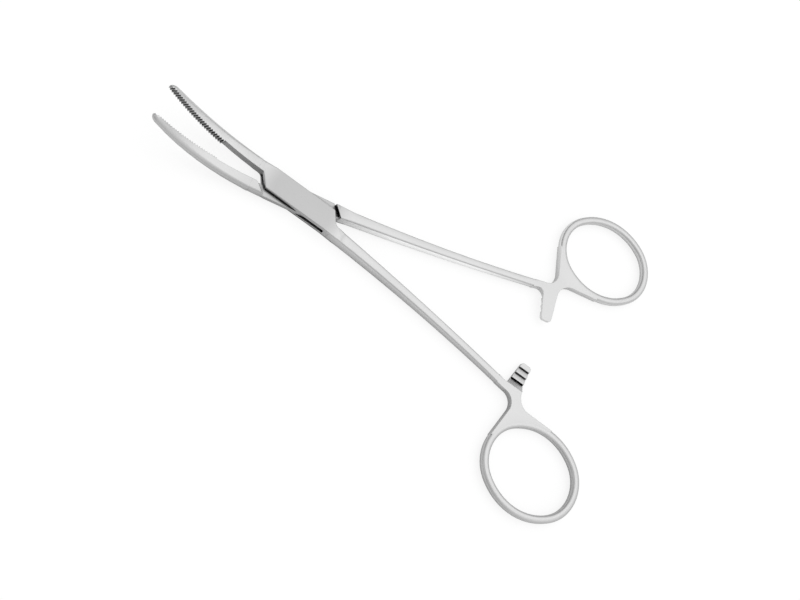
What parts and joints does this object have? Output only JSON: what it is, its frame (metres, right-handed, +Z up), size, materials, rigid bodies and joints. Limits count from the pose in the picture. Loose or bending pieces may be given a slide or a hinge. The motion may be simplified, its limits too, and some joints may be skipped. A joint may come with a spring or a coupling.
{
  "type": "hemostat forceps",
  "caption": "Curved box-lock locking forceps with half-serrated jaws, slim tapering shanks, a ratchet catch and oval finger rings.",
  "frame": {"origin": "on the lock pin's axis, at the flat underside of the box, on which the forceps lies", "axes": "+X along the bisector of the two shanks towards the finger rings, +Y towards the handle of the tang half, +Z up along the lock pin, the way that the jaws curve"},
  "size_m": [0.1372, 0.0886, 0.0117],
  "materials": {
    "satin_steel": "satin, finely brushed along the shanks",
    "pin_steel": "satin, ground flush"
  },
  "bodies": {
    "box_side": {"box_half": "satin_steel", "lock_pin": "pin_steel"},
    "tang_side": {"tang_half": "satin_steel"}
  },
  "joints": [
    {"name": "lock_pivot", "type": "hinge", "parent": "box_side", "child": "tang_side", "pos_m": [0, 0, 0.0018], "axis": [0, 0, 1], "range_deg": [-11.5, 45]}
  ]
}
